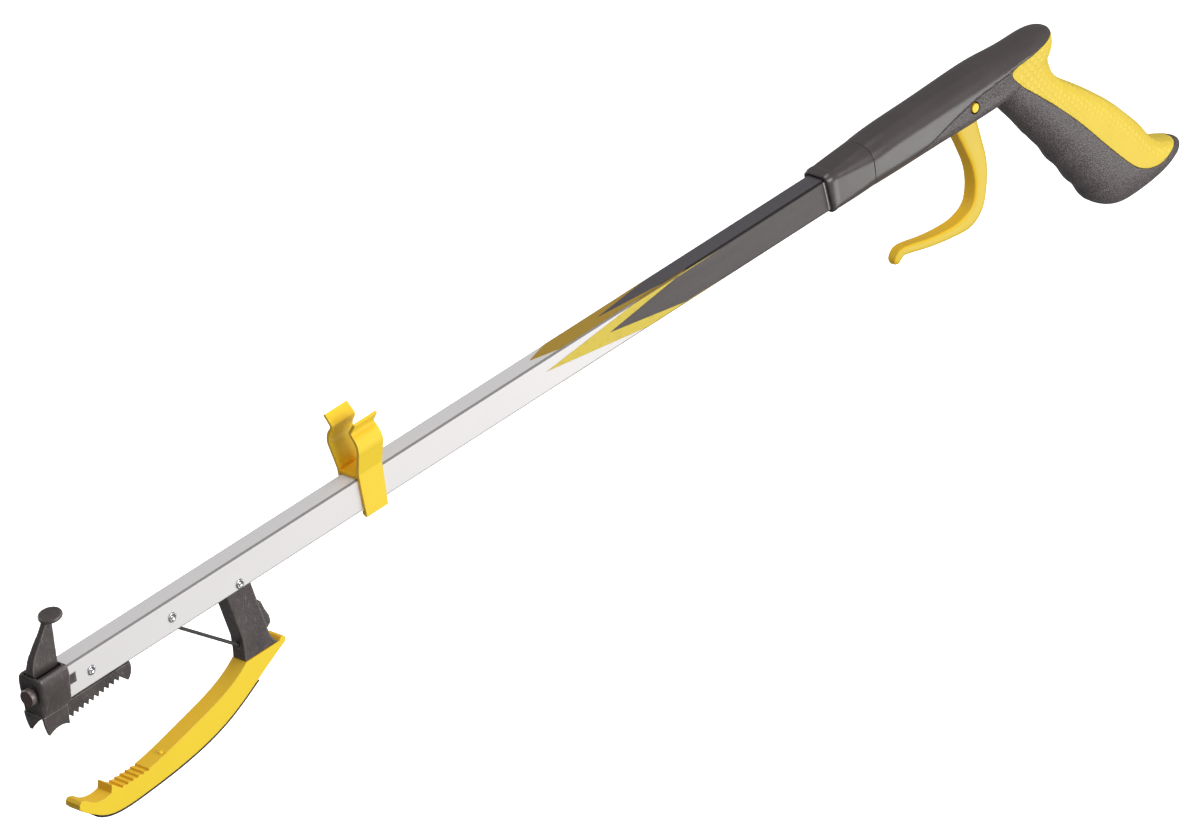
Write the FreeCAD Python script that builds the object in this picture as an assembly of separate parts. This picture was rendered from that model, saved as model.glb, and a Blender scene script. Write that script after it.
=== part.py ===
import FreeCAD, Part
import math
import os

# Reacher grabber, in millimetres. The hand grip's centre is the origin, +X runs along the
# shaft towards the back of the handle, +Z is up and the shaft lies in the plane Y = 0.
# Below, every x is measured from the tube's front end and every z from the tube's axis;
# export() moves each finished piece so that the grip's centre is the origin.
GRIP_CENTRE_X = 812.0
GRIP_CENTRE_Z = -55.0

# Shaft
TUBE_LENGTH = 695.0
TUBE_WIDTH = 12.5
TUBE_HEIGHT = 20.0
TUBE_WALL = 1.0
TUBE_CORNER = 1.5
TUBE_TOP = TUBE_HEIGHT / 2
TUBE_SIDE = TUBE_WIDTH / 2
INNER_TOP = TUBE_TOP - TUBE_WALL
INNER_SIDE = TUBE_SIDE - TUBE_WALL
ARM_SLOT_START, ARM_SLOT_END = 82.0, 153.0
ARM_SLOT_HALF = 5.0
SNAP_START, SNAP_END = 11.0, 18.5
SNAP_LOW, SNAP_HIGH = -2.0, 4.0
TENON_START, TENON_END = 16.0, 36.0
TENON_HALF = 2.5
FILM = 0.12

# Rivets, as (x, z)
NOSE_RIVET = (29.5, -1.0)
ROLLER_RIVET = (90.5, -0.5)
JAW_RIVET = (141.0, -6.0)
RIVET_RADIUS = 2.0
RIVET_HEAD_RADIUS = 2.9
RIVET_HEAD_THICK = 0.8
PIVOT_CLEARANCE = 0.05

# Nose
CAP_FRONT, CAP_BACK = -9.0, 12.0
CAP_HALF = 7.6
CAP_BULGE = [  # z, half width
    (-10.0, CAP_HALF),
    (-4.0, 8.1),
    (2.0, 8.7),
    (6.0, 8.9),
    (10.0, 8.5),
    (12.0, CAP_HALF),
]
CAP_CORNER = 2.2
CAP_TOP = CAP_BULGE[-1][0]
CAP_RECESS_FLOOR = 10.6
MAGNET_RADIUS = 4.7
MAGNET_FRONT, MAGNET_BACK = -12.5, -6.0
MAGNET_Z = 1.0
PEG_HEAD_RADIUS = 6.8
PEG_HEAD_THICK = 2.2
PEG_HEAD_TILT = -8
PEG_BLADE = [  # z, front x, rear x, half width
    (CAP_RECESS_FLOOR, -7.2, 10.4, 3.1),
    (20.0, -5.6, 11.0, 2.6),
    (28.0, 0.2, 11.5, 2.2),
    (37.5, 7.4, 12.0, 1.8),
]

# Upper jaw
CLAW_BACK = 9.0
CLAW_THICK = 2.0
CLAW_ROOF = 1.3
STRIP_START, STRIP_END = 7.6, 57.5
TOOTH_COUNT = 10
TOOTH_PITCH = 3.86
FIRST_TOOTH_X = 12.9

# Pull cord and its roller
CORD_RADIUS = 1.0
ROLLER_GROOVE = 3.5
ROLLER_FLANGE = 5.2
ROLLER_HALF = 2.6
CORD_BEND = ROLLER_GROOVE + CORD_RADIUS
CORD_Z = ROLLER_RIVET[1] + CORD_BEND
CORD_ON_ARM = (139.7, -45.0)

# Jaw
ARM_HALF = 4.85
ARM_HEAD_RADIUS = 8.0
BUSH_RADIUS = 3.0
SPRING_GAP_HALF = 2.4
SPRING_RADIUS = 4.2
SPRING_WIRE = 0.5
FINGER_HALF = 5.2
BACK_STRIP_THICK = 1.2
STEP_COUNT = 6
STEP_PITCH = 3.94
FIRST_STEP_X = 39.3

# Clip for a walking stick
CLIP_START, CLIP_END = 233.4, 252.5
CLIP_FOOT_START = 236.2
CLIP_LIP_END = 250.6
CLIP_HOOK_Z, CLIP_BEND_Z, CLIP_LIP_Z = -13.4, 27.0, 45.6
CLIP_THICK = 1.7
CLIP_GAP = 0.1
STICK_RADIUS = 10.0
STICK_Z = 29.0

# Handle
COLLAR_START, COLLAR_END = 607.0, 642.0
COLLAR_RAKE = 3.0
TRIGGER_PIVOT = (725.0, 0.5)
TRIGGER_HALF = 5.0
TRIGGER_SLOT_HALF = 5.4
TRIGGER_ROUND = 1.8
HUB_RADIUS = 8.5
PIN_RADIUS = 2.75
PIN_HALF = 12.9
CORD_PIN_RADIUS = 1.5
CORD_PIN = (TRIGGER_PIVOT[0] - 3.0, TRIGGER_PIVOT[1] - 10.0)
CORD_PIN_BEND = CORD_PIN_RADIUS + CORD_RADIUS
CORD_RUN_END = 690.0
CORD_KNEE_X, CORD_KNEE_RADIUS = 697.0, 12.0
CORD_ANCHOR = (702.0, -7.0)
SHELL_WALL = 2.4
PAD_THICK = 2.4
SCREW_PLACES = [(762.0, -14.0), (790.0, -50.0), (844.0, -103.0)]
SCREW_HEAD_RADIUS = 2.9
TUBE_PIN = (684.0, -5.5)


def point(x, z, y=0.0):
    return FreeCAD.Vector(x, y, z)


def box(x0, x1, y0, y1, z0, z1):
    return Part.makeBox(x1 - x0, y1 - y0, z1 - z0, FreeCAD.Vector(x0, y0, z0))


def cylinder_y(x, z, radius, y0, y1):
    return Part.makeCylinder(radius, y1 - y0, point(x, z, y0), FreeCAD.Vector(0, 1, 0))


def cylinder_x(y, z, radius, x0, x1):
    return Part.makeCylinder(radius, x1 - x0, point(x0, z, y), FreeCAD.Vector(1, 0, 0))


def rod(start, end, radius):
    return Part.makeCylinder(radius, (end - start).Length, start, end - start)


def lines(places):
    """Straight edges through (x, z) places."""
    ends = [point(*p) for p in places]
    return [Part.LineSegment(a, b).toShape() for a, b in zip(ends, ends[1:])]


def smooth(places):
    """One smooth edge through (x, z) places."""
    curve = Part.BSplineCurve()
    curve.interpolate([point(*p) for p in places])
    return curve.toShape()


def plate(edges, half):
    """Closed outline in the XZ plane, thickened evenly to both sides."""
    face = Part.Face(Part.Wire(edges))
    face.translate(FreeCAD.Vector(0, -half, 0))
    return face.extrude(FreeCAD.Vector(0, 2 * half, 0))


def rounded_section(x, half, low, high, radius):
    """Rounded rectangle across the shaft at x."""
    wide, tall = half - radius, (high - low) / 2 - radius
    middle = (low + high) / 2
    corners = [(wide, tall, 0), (-wide, tall, 90), (-wide, -tall, 180), (wide, -tall, 270)]
    edges = []
    for number, (y, z, turn) in enumerate(corners):
        arc = [arc_place(x, y, middle + z, radius, turn + step) for step in (0, 45, 90)]
        edges.append(Part.Arc(*arc).toShape())
        y2, z2, turn2 = corners[(number + 1) % 4]
        start_of_next = arc_place(x, y2, middle + z2, radius, turn2)
        edges.append(Part.LineSegment(arc[2], start_of_next).toShape())
    return Part.Wire(edges)


def arc_place(x, y, z, radius, degrees):
    angle = math.radians(degrees)
    return FreeCAD.Vector(x, y + radius * math.cos(angle), z + radius * math.sin(angle))


def loft(wires):
    return Part.makeLoft(wires, True, False)


def pipe(edges, radius):
    """Round tube along a chain of tangent edges."""
    path = Part.Wire(edges)
    start = path.OrderedVertexes[0].Point
    first = path.OrderedEdges[0]
    direction = first.tangentAt(first.FirstParameter)
    circle = Part.Wire(Part.Circle(start, direction, radius).toShape())
    return path.makePipeShell([circle], True, False)


def rivet(place, half_grip):
    """Tubular rivet across the shaft: shank, two domed heads and a dimple in each."""
    x, z = place
    end = half_grip + RIVET_HEAD_THICK
    body = cylinder_y(x, z, RIVET_RADIUS, -end, end)
    for side in (-1, 1):
        low, high = sorted((side * half_grip, side * end))
        head = cylinder_y(x, z, RIVET_HEAD_RADIUS, low, high)
        rim = [e for e in head.Edges if abs(e.CenterOfMass.y - side * end) < 0.01]
        head = head.makeFillet(0.5, rim)
        body = body.fuse(head)
    for side in (-1, 1):
        low, high = sorted((side * (end - 0.7), side * (end + 1)))
        dimple = cylinder_y(x, z, 1.5, low, high)
        body = body.cut(dimple.cut(Part.makeSphere(1.1, point(x, z, side * (end - 0.9)))))
    return body.removeSplitter()


# ---------------------------------------------------------------- shaft

def tube_block(x0, x1, half, top, corner):
    wire = rounded_section(x0, half, -top, top, corner)
    return Part.Face(wire).extrude(FreeCAD.Vector(x1 - x0, 0, 0))


def shaft_tube():
    tube = tube_block(0, TUBE_LENGTH, TUBE_SIDE, TUBE_TOP, TUBE_CORNER)
    tube = tube.cut(tube_block(-1, TUBE_LENGTH + 1, INNER_SIDE, INNER_TOP, TUBE_CORNER - TUBE_WALL))
    tube = tube.cut(box(ARM_SLOT_START, ARM_SLOT_END, -ARM_SLOT_HALF, ARM_SLOT_HALF, -11, -5))
    tube = tube.cut(box(SNAP_START, SNAP_END, -8, 8, SNAP_LOW, SNAP_HIGH))
    tube = tube.cut(box(TENON_START, TENON_END, -TENON_HALF, TENON_HALF, -11, -7))
    for x, z in (NOSE_RIVET, ROLLER_RIVET, JAW_RIVET):
        tube = tube.cut(cylinder_y(x, z, RIVET_RADIUS, -8, 8))
    return tube.cut(cylinder_y(*TUBE_PIN, CORD_PIN_RADIUS, -8, 8))


def film_wrap(x0, x1):
    outer = tube_block(x0, x1, TUBE_SIDE + FILM, TUBE_TOP + FILM, TUBE_CORNER + FILM)
    return outer.cut(tube_block(x0 - 1, x1 + 1, TUBE_SIDE, TUBE_TOP, TUBE_CORNER))


def arrow_on_sides(tip_x, tip_z, full_x, end_x):
    """Long arrow seen from the side: a tip, then the whole height of the shaft."""
    reach = TUBE_TOP + 2
    outline = [(tip_x, tip_z), (full_x, reach), (end_x, reach), (end_x, -reach), (full_x, -reach)]
    return plate(lines(outline + outline[:1]), TUBE_SIDE + 1)


def arrow_on_top(tip_x, full_x, end_x):
    """The same arrow seen from above, through the whole height of the shaft."""
    reach = TUBE_SIDE + 2
    outline = [(tip_x, 0), (full_x, reach), (end_x, reach), (end_x, -reach), (full_x, -reach)]
    corners = [FreeCAD.Vector(x, y, -TUBE_TOP - 1) for x, y in outline + outline[:1]]
    return Part.Face(Part.makePolygon(corners)).extrude(FreeCAD.Vector(0, 0, TUBE_HEIGHT + 2))


def arrow(side_tip, side_full, top_tip, top_full, tip_z):
    """The film's arrow, running from the sides over onto the top and the bottom."""
    end = COLLAR_START + 8
    film = film_wrap(side_tip - 5, end)
    flat_half = TUBE_SIDE - TUBE_CORNER / 2
    faces = box(side_tip - 6, end + 1, -flat_half, flat_half, -TUBE_TOP - 1, TUBE_TOP + 1)
    on_top = film.common(faces).common(arrow_on_top(top_tip, top_full, end + 1))
    on_sides = film.cut(faces).common(arrow_on_sides(side_tip, tip_z, side_full, end + 1))
    return on_sides.fuse(on_top)


def labels():
    flash = arrow(382, 482, 376, 404, 2.5)
    field = arrow(432, 512, 430, 500, 1.7)
    return flash.cut(field), field


# ---------------------------------------------------------------- nose

def cap_section(z, half):
    """Level cut through the cap: a rectangle with rounded front corners."""
    x0, x1, turn = CAP_FRONT, CAP_BACK, CAP_CORNER

    def corner(side):
        inwards = turn * (1 - math.sqrt(0.5))
        middle = FreeCAD.Vector(x0 + inwards, side * (half - inwards), z)
        ends = [FreeCAD.Vector(x0, side * (half - turn), z), FreeCAD.Vector(x0 + turn, side * half, z)]
        return [ends[0], middle, ends[1]]

    near, far = corner(-1), corner(1)
    rear_near, rear_far = FreeCAD.Vector(x1, -half, z), FreeCAD.Vector(x1, half, z)
    return Part.Wire([
        Part.LineSegment(far[0], near[0]).toShape(),
        Part.Arc(*near).toShape(),
        Part.LineSegment(near[2], rear_near).toShape(),
        Part.LineSegment(rear_near, rear_far).toShape(),
        Part.LineSegment(rear_far, far[2]).toShape(),
        Part.Arc(*reversed(far)).toShape(),
    ])


def nose_cap():
    cap = loft([cap_section(z, half) for z, half in CAP_BULGE])
    cap = cap.cut(tube_block(0, CAP_BACK + 1, TUBE_SIDE, TUBE_TOP, TUBE_CORNER))
    cap = cap.cut(box(CAP_FRONT + 1.6, CAP_BACK - 1.2, -5.4, 5.4, CAP_RECESS_FLOOR, CAP_TOP + 1))
    return cap.cut(cylinder_x(0, MAGNET_Z, MAGNET_RADIUS, MAGNET_FRONT, MAGNET_BACK))


def nose_magnet():
    disc = cylinder_x(0, MAGNET_Z, MAGNET_RADIUS, MAGNET_FRONT, MAGNET_BACK)
    rim = [e for e in disc.Edges if abs(e.CenterOfMass.x - MAGNET_FRONT) < 0.01]
    return disc.makeFillet(0.6, rim)


def peg_section(z, x0, x1, half):
    corners = [(x0, -half), (x1, -half), (x1, half), (x0, half), (x0, -half)]
    return Part.makePolygon([FreeCAD.Vector(x, y, z) for x, y in corners])


def dressing_peg():
    """Blade with a bulging front edge, then a flat round head that leans forward."""
    blade = loft([peg_section(*row) for row in PEG_BLADE])
    bottom = point(0, -PEG_HEAD_THICK / 2)
    head = Part.makeCylinder(PEG_HEAD_RADIUS, PEG_HEAD_THICK, bottom, FreeCAD.Vector(0, 0, 1))
    head = head.makeFillet(0.8, [e for e in head.Edges if e.Length > 3 * PEG_HEAD_RADIUS])
    head.rotate(FreeCAD.Vector(), FreeCAD.Vector(0, 1, 0), PEG_HEAD_TILT)
    head.translate(point(12.8, 38.8))
    return blade.fuse(head)


def nose_insert():
    insert = box(0.5, 38.0, -INNER_SIDE, INNER_SIDE, -INNER_TOP, INNER_TOP)
    along = [e for e in insert.Edges if abs(e.tangentAt(0).x) > 0.9]
    insert = insert.makeFillet(TUBE_CORNER - TUBE_WALL, along)
    insert = insert.fuse(box(SNAP_START + 1.2, SNAP_END - 0.2, -6.1, 6.1, SNAP_LOW + 0.2, SNAP_HIGH - 0.2))
    return insert.cut(cylinder_y(*NOSE_RIVET, RIVET_RADIUS, -8, 8))


def claw_outline():
    tip, corner = (-6.5, -22.3), (8.6, -22.3)
    front = smooth([(-9.0, -10.0), (-8.6, -14.0), tip])
    arch = Part.Arc(point(*tip), point(1.5, -20.1), point(*corner)).toShape()
    return [front, arch] + lines([corner, (CLAW_BACK, -10.0), (-9.0, -10.0)])


def strip_outline():
    """Saw teeth that get shallower backwards, then one larger hooked tooth."""
    places = [(STRIP_START, -10.0), (STRIP_START, -18.6)]
    for number in range(TOOTH_COUNT):
        tip_x = FIRST_TOOTH_X + number * TOOTH_PITCH
        valley_z = -18.0 + 0.38 * number
        places += [(tip_x - 2.5, valley_z), (tip_x, -21.0 + 0.4 * number), (tip_x + 0.9, valley_z + 0.3)]
    places.append((54.2, -20.2))
    hook = smooth([(54.2, -20.2), (56.8, -17.0), (STRIP_END, -14.0), (57.1, -10.0)])
    return lines(places) + [hook] + lines([(57.1, -10.0), (STRIP_START, -10.0)])


def upper_jaw():
    claws = plate(claw_outline(), CAP_HALF)
    inside = CAP_HALF - CLAW_THICK
    claws = claws.cut(box(CAP_FRONT - 1, CLAW_BACK, -inside, inside, -30, -TUBE_TOP - CLAW_ROOF))
    strip = plate(strip_outline(), TUBE_SIDE - 0.2)
    tenon = box(TENON_START, TENON_END, -TENON_HALF, TENON_HALF, -TUBE_TOP - 1, -INNER_TOP)
    return claws.fuse(strip).fuse(tenon).removeSplitter()


# ---------------------------------------------------------------- cord

def cord_direction():
    """Unit vector along the tight stretch, from the arm up to the roller."""
    centre, start = point(*ROLLER_RIVET), point(*CORD_ON_ARM)
    gap = centre - start
    tilt = math.asin(CORD_BEND / gap.Length)
    angle = math.atan2(gap.z, gap.x) + tilt
    return point(math.cos(angle), math.sin(angle))


def cord_tangent_place():
    """Where the tight stretch meets the roller's groove."""
    along = cord_direction()
    length = math.sqrt((point(*ROLLER_RIVET) - point(*CORD_ON_ARM)).Length ** 2 - CORD_BEND ** 2)
    return point(*CORD_ON_ARM) + along * length


def cord_front():
    along = cord_direction()
    x, z = ROLLER_RIVET
    touch = cord_tangent_place()
    around = Part.Arc(touch, point(x - CORD_BEND, z), point(x, CORD_Z)).toShape()
    anchor = point(*CORD_ON_ARM) - along * 3.0
    return pipe([Part.LineSegment(anchor, touch).toShape(), around], CORD_RADIUS)


def cord_front_crimp():
    along = cord_direction()
    start = point(*CORD_ON_ARM) - along * 3.0
    return rod(start, start - along * 5.5, 1.7)


def cord_run():
    return rod(point(ROLLER_RIVET[0], CORD_Z), point(CORD_RUN_END, CORD_Z), CORD_RADIUS)


def cord_return_place():
    """Where the cord leaves the trigger's pin on its way to the fixed crimp."""
    centre = point(*CORD_PIN)
    back = point(*CORD_ANCHOR) - centre
    leave = math.atan2(back.z, back.x) + math.acos(CORD_PIN_BEND / back.Length)
    return centre + point(math.cos(leave), math.sin(leave)) * CORD_PIN_BEND


def cord_tail():
    """From the tube down to the trigger's cord pin, round it and back to the fixed crimp."""
    start, knee, centre = point(CORD_RUN_END, CORD_Z), point(CORD_KNEE_X, CORD_Z), point(*CORD_PIN)
    gap = centre - knee
    angle = math.atan2(gap.z, gap.x) + math.asin(CORD_PIN_BEND / gap.Length)
    down = point(math.cos(angle), math.sin(angle))
    touch = knee + down * math.sqrt(gap.Length ** 2 - CORD_PIN_BEND ** 2)
    trim = CORD_KNEE_RADIUS * math.tan(-angle / 2)
    before, after = knee - point(trim, 0), knee + down * trim
    bend_centre = before - point(0, CORD_KNEE_RADIUS)
    middle = bend_centre + (knee - bend_centre).normalize() * CORD_KNEE_RADIUS
    leave = cord_return_place()
    return pipe([
        Part.LineSegment(start, before).toShape(),
        Part.Arc(before, middle, after).toShape(),
        Part.LineSegment(after, touch).toShape(),
        Part.Arc(touch, centre + point(CORD_PIN_BEND, 0), leave).toShape(),
        Part.LineSegment(leave, point(*CORD_ANCHOR)).toShape(),
    ], CORD_RADIUS)


def cord_rear_crimp():
    """Crimp in line with the cord's return stretch."""
    anchor = point(*CORD_ANCHOR)
    along = (anchor - cord_return_place()).normalize()
    return rod(anchor, anchor + along * 6.0, 1.7)


def cord_roller():
    x, z = ROLLER_RIVET
    wheel = cylinder_y(x, z, ROLLER_FLANGE, -ROLLER_HALF, ROLLER_HALF)
    groove = Part.makeTorus(CORD_BEND + 0.35, CORD_RADIUS + 0.35, point(x, z), FreeCAD.Vector(0, 1, 0))
    return wheel.cut(groove).cut(cylinder_y(x, z, RIVET_RADIUS + PIVOT_CLEARANCE, -8, 8))


# ---------------------------------------------------------------- jaw

def jaw_arm():
    x, z = JAW_RIVET
    sides = [(131.6, -9.0), (150.0, -9.0), (158.4, -46.6), (160.4, -50.2), (163.5, -53.3),
             (138.4, -53.3), (138.9, -48.0), (138.8, -39.9), (131.6, -9.0)]
    arm = plate(lines(sides), ARM_HALF).fuse(cylinder_y(x, z, ARM_HEAD_RADIUS, -ARM_HALF, ARM_HALF))
    lug = [(152.0, -24.4), (156.6, -25.4), (158.6, -31.0), (161.2, -36.5), (161.6, -40.9), (157.4, -44.0),
           (152.0, -24.4)]
    arm = arm.fuse(plate(lines(lug), 3.4)).removeSplitter()
    arm = arm.cut(cylinder_y(x, z, BUSH_RADIUS + PIVOT_CLEARANCE, -8, 8))
    arm = arm.cut(cylinder_y(x, z, SPRING_RADIUS + 1.5, -SPRING_GAP_HALF, SPRING_GAP_HALF))
    arm = arm.cut(box(x - 9, x + 14, -SPRING_GAP_HALF, SPRING_GAP_HALF, z - 1.0, z + 9))
    leg_x = x - SPRING_RADIUS
    arm = arm.cut(box(leg_x - 0.7, leg_x + 0.7, -SPRING_GAP_HALF, SPRING_GAP_HALF, -18.5, -5))
    along = cord_direction()
    start = point(*CORD_ON_ARM)
    arm = arm.cut(rod(start + along * 6, start - along * 3, CORD_RADIUS + 0.3))
    return arm.cut(rod(start - along * 3.0, start - along * 8.5, 1.7))


def jaw_bush():
    x, z = JAW_RIVET
    half = ARM_SLOT_HALF - 0.05
    return cylinder_y(x, z, BUSH_RADIUS, -half, half).cut(cylinder_y(x, z, RIVET_RADIUS, -8, 8))


def jaw_spring():
    """Three and a third turns round the bush, one leg on the tube's floor and one in the arm."""
    x, z = JAW_RIVET
    turns, pitch = 3 + 1 / 3, 1.12
    height = turns * pitch
    coil_path = Part.makeHelix(pitch, height, SPRING_RADIUS, 0, True)
    first = FreeCAD.Vector(SPRING_RADIUS, 0, 0)
    circle = Part.Wire(Part.Circle(first, FreeCAD.Vector(0, 1, 0), SPRING_WIRE).toShape())
    coil = Part.Wire(coil_path).makePipeShell([circle], True, True)
    coil.translate(FreeCAD.Vector(0, 0, -height / 2))
    coil.rotate(FreeCAD.Vector(), FreeCAD.Vector(1, 0, 0), -90)
    coil.rotate(FreeCAD.Vector(), FreeCAD.Vector(0, 1, 0), -60)
    coil.translate(point(x, z))
    slope = math.radians(60)
    start = point(x + SPRING_RADIUS * math.cos(slope), z + SPRING_RADIUS * math.sin(slope), -height / 2)
    floor_leg = rod(start, start + point(math.sin(slope), -math.cos(slope)) * 11.2, SPRING_WIRE)
    arm_end = point(x - SPRING_RADIUS, z, height / 2)
    arm_leg = rod(arm_end, arm_end + point(0, -11.5), SPRING_WIRE)
    return coil.fuse(floor_leg).fuse(arm_leg)


def finger_back():
    """Outer curve of the finger, from behind the arm round to the tip."""
    return [(168.0, -55.4), (145.0, -67.2), (121.0, -78.8), (87.6, -86.9), (55.2, -90.0),
            (38.0, -90.4), (26.0, -88.2), (16.9, -83.2), (10.0, -78.4)]


def finger_grip_side():
    """Inner side of the finger, from the tip back: lip, hollow, upright fin and six steps."""
    lip = [(10.0, -78.4), (7.6, -75.6), (7.8, -73.0), (9.6, -71.7), (13.4, -73.0)]
    hollow = [(13.4, -73.0), (18.6, -76.8), (24.8, -78.2), (31.0, -77.4)]
    steps = [(31.0, -77.4), (32.0, -73.4), (33.0, -73.4), (36.0, -76.2)]
    for number in range(STEP_COUNT):
        valley_x = FIRST_STEP_X + STEP_PITCH * number
        steps += [(valley_x, -78.6), (valley_x + 0.4, -77.5)]
    return lines(lip), smooth(hollow), steps


def jaw_finger():
    lip, hollow, steps = finger_grip_side()
    top = smooth([steps[-1], (76.0, -74.4), (92.1, -70.5), (107.9, -66.6), (125.3, -60.9),
                  (138.4, -53.3)])
    heel = lines([(138.4, -53.3), (163.5, -53.3), (165.2, -51.6)])
    shoulder = smooth([(165.2, -51.6), (167.9, -52.3), (168.0, -55.4)])
    edges = [smooth(finger_back())] + lip + [hollow] + lines(steps) + [top] + heel + [shoulder]
    nub = Part.makeSphere(1.5, point(72.0, -75.6, -1.6))
    return plate(edges, FINGER_HALF).fuse(nub)


def jaw_back_strip():
    """Rubber strip on the outer curve, between two even distances from it."""
    curve = Part.BSplineCurve()
    curve.interpolate([point(*p) for p in finger_back()])
    first = curve.parameter(point(145.0, -67.2))
    last = curve.parameter(point(19.5, -84.9))
    inner, outer = [], []
    steps = 14
    for number in range(steps + 1):
        at = first + (last - first) * number / steps
        place, along = curve.value(at), curve.tangent(at)[0]
        out = FreeCAD.Vector(-along.z, 0, along.x)
        if out.z > 0:
            out = -out
        inner.append(place)
        outer.append(place + out * BACK_STRIP_THICK)
    inside = curve.toShape(first, last)
    outside = Part.BSplineCurve()
    outside.interpolate(outer)
    edges = [inside, Part.LineSegment(inner[-1], outer[-1]).toShape(), outside.toShape(),
             Part.LineSegment(outer[0], inner[0]).toShape()]
    return plate(edges, FINGER_HALF)


# ---------------------------------------------------------------- clip

def clip_outline(side):
    """One arm of the clip in the YZ plane: hook, plate, cradle, pinch and flared lip."""
    near = TUBE_SIDE + CLIP_GAP
    far = near + CLIP_THICK
    outer_radius = STICK_RADIUS + CLIP_THICK
    low, high = math.radians(-20), math.radians(45)

    def on_circle(radius, angle):
        return (radius * math.cos(angle), STICK_Z + radius * math.sin(angle))

    inner = [on_circle(STICK_RADIUS, a) for a in (low, 0, high)]
    outer = [on_circle(outer_radius, a) for a in (high, 0, low)]
    bridge_low, bridge_high = TUBE_TOP + CLIP_GAP, TUBE_TOP + CLIP_GAP + CLIP_THICK
    before = [(0, bridge_low), (near, bridge_low), (near, -TUBE_TOP - 0.3), (near - 1.2, -TUBE_TOP - 0.3),
              (near - 1.2, -12.0), (near + 0.2, CLIP_HOOK_Z), (far, CLIP_HOOK_Z), (far, 13.0), outer[2]]
    lip = [outer[0], (7.6, 38.8), (11.6, 44.6), (10.4, CLIP_LIP_Z), (5.9, 39.2), inner[2]]
    after = [inner[0], (near, 13.6), (near, bridge_high), (0, bridge_high), (0, bridge_low)]

    def at(place):
        return FreeCAD.Vector(CLIP_START, side * place[0], place[1])

    def chain(places):
        return [Part.LineSegment(at(a), at(b)).toShape() for a, b in zip(places, places[1:])]

    outer_arc = Part.Arc(at(outer[2]), at(outer[1]), at(outer[0])).toShape()
    inner_arc = Part.Arc(at(inner[2]), at(inner[1]), at(inner[0])).toShape()
    return chain(before) + [outer_arc] + chain(lip) + [inner_arc] + chain(after)


def stick_clip():
    halves = [Part.Face(Part.Wire(clip_outline(side))).extrude(FreeCAD.Vector(CLIP_END - CLIP_START, 0, 0))
              for side in (-1, 1)]
    low, high = CLIP_HOOK_Z - 1, CLIP_LIP_Z + 1
    side_view = [(CLIP_FOOT_START, low), (CLIP_END, low), (CLIP_END, CLIP_BEND_Z), (CLIP_LIP_END, high),
                 (CLIP_START, high), (CLIP_START, CLIP_BEND_Z), (CLIP_FOOT_START, low)]
    return halves[0].fuse(halves[1]).removeSplitter().common(plate(lines(side_view), 20))


# ---------------------------------------------------------------- handle

BARREL = [  # x, half width, bottom, top, corner radius
    (642.0, 12.2, -11.2, 15.0, 9.0),
    (675.0, 12.7, -11.6, 17.0, 9.5),
    (715.0, 13.0, -12.0, 18.0, 10.0),
    (750.0, 12.8, -12.0, 18.2, 10.0),
    (780.0, 11.6, -8.4, 17.4, 9.5),
    (793.5, 9.2, -1.0, 16.3, 7.0),
    (799.2, 4.8, 5.0, 14.2, 3.8),
]
BARREL_SPLIT = [(660.0, -14.0), (684.0, -4.5), (725.0, 4.8), (760.0, 7.2), (790.0, 11.0), (806.0, 13.5)]

GRIP = [  # front x, front z, back x, back z, half width
    (748.0, -5.0, 795.0, 4.0, 11.2),
    (757.0, -18.0, 796.8, -12.5, 12.4),
    (765.0, -29.0, 806.0, -22.5, 12.8),
    (773.0, -40.5, 819.0, -33.0, 13.2),
    (780.5, -51.5, 831.0, -43.5, 13.6),
    (788.5, -62.0, 842.5, -54.5, 13.8),
    (796.0, -73.5, 853.5, -67.0, 14.0),
    (803.5, -84.5, 863.5, -79.5, 14.2),
    (810.5, -95.0, 873.0, -91.5, 14.4),
    (815.0, -104.0, 889.0, -98.4, 14.0),
    (822.5, -110.9, 893.0, -103.6, 12.6),
    (834.0, -116.2, 883.5, -110.6, 9.4),
    (848.0, -118.0, 866.0, -115.4, 4.0),
]
PAD_EDGE = [(790.0, 13.0), (769.0, 8.6), (758.5, 4.5), (765.1, -5.5), (777.4, -17.7), (792.9, -33.5),
            (808.1, -50.7), (828.3, -75.6), (845.9, -94.9), (861.8, -102.1), (876.0, -101.0), (900.0, -92.0)]


def barrel_block(inset):
    """The whole barrel, drawn in by an even distance."""
    wires = []
    for x, half, low, high, radius in BARREL:
        if half - inset < 2 or high - low - 2 * inset < 4:
            continue
        wires.append(rounded_section(x, half - inset, low + inset, high - inset, max(radius - inset, 1.2)))
    return loft(wires)


def grip_section(front_x, front_z, back_x, back_z, half, inset):
    """Rounded closed curve through the front, back and sides of the grip."""
    front, back = point(front_x, front_z), point(back_x, back_z)
    along = (back - front).normalize()
    front, back = front + along * inset, back - along * inset
    middle, reach = (front + back) * 0.5, (back - front).Length / 2
    places = []
    for step in range(12):
        angle = math.radians(30 * step)
        long = math.copysign(abs(math.cos(angle)) ** 0.8, math.cos(angle))
        wide = math.copysign(abs(math.sin(angle)) ** 0.8, math.sin(angle))
        places.append(middle + along * (reach * long) + FreeCAD.Vector(0, (half - inset) * wide, 0))
    curve = Part.BSplineCurve()
    curve.interpolate(places, PeriodicFlag=True)
    return Part.Wire(curve.toShape())


def grip_block(inset):
    rows = GRIP if inset == 0 else GRIP[:-1]
    return loft([grip_section(*row, inset) for row in rows])


def behind_pad_edge():
    """Everything behind the line where the pad meets the dark shell."""
    edge = smooth(PAD_EDGE)
    first, last = PAD_EDGE[0], PAD_EDGE[-1]
    rest = lines([last, (930.0, -92.0), (930.0, 30.0), (first[0], 30.0), first])
    return plate([edge] + rest, 25)


def above_split():
    return plate(lines(BARREL_SPLIT + [(806.0, 30.0), (640.0, 30.0), (640.0, -14.0), BARREL_SPLIT[0]]), 25)


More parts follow.
